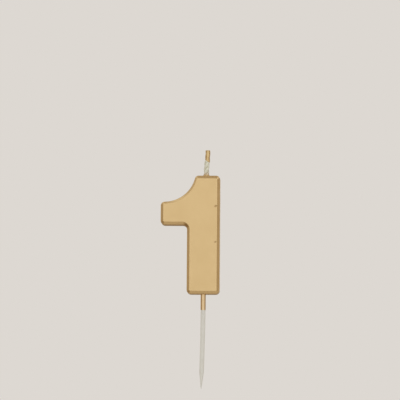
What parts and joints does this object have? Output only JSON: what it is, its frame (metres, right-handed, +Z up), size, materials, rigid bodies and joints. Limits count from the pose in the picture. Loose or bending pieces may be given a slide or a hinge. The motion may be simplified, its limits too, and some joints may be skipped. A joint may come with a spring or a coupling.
{
  "type": "number candle",
  "caption": "Cake candle in the shape of the numeral 1: bevelled wax under a satin gold coat, a short twisted wick with a gold tip, and a plastic pick with a gold neck.",
  "frame": {"origin": "on the pick's axis at the lower end of the gold neck, where the cake's surface comes to", "axes": "+Z up the pick and the numeral's stem, -Y out of the numeral's front face, +X to the viewer's right"},
  "size_m": [0.0188, 0.008, 0.0758],
  "materials": {
    "wax": "cream paraffin wax, matt, hidden under the gold coat",
    "gold_lacquer": "satin champagne gold metallic lacquer on wax, fine flake",
    "gold_film": "thin satin gold lacquer film",
    "cotton": "waxed twisted cotton yarn, off-white",
    "clear_plastic": "milky translucent polypropylene, smooth"
  },
  "bodies": {
    "root": {"wax_core": "wax", "gold_coat": "gold_lacquer", "wick_ply_1": "cotton", "wick_ply_2": "cotton", "wick_ply_3": "cotton", "wick_tip_coat": "gold_film", "pick": "clear_plastic", "neck_coat": "gold_film"}
  },
  "joints": []
}
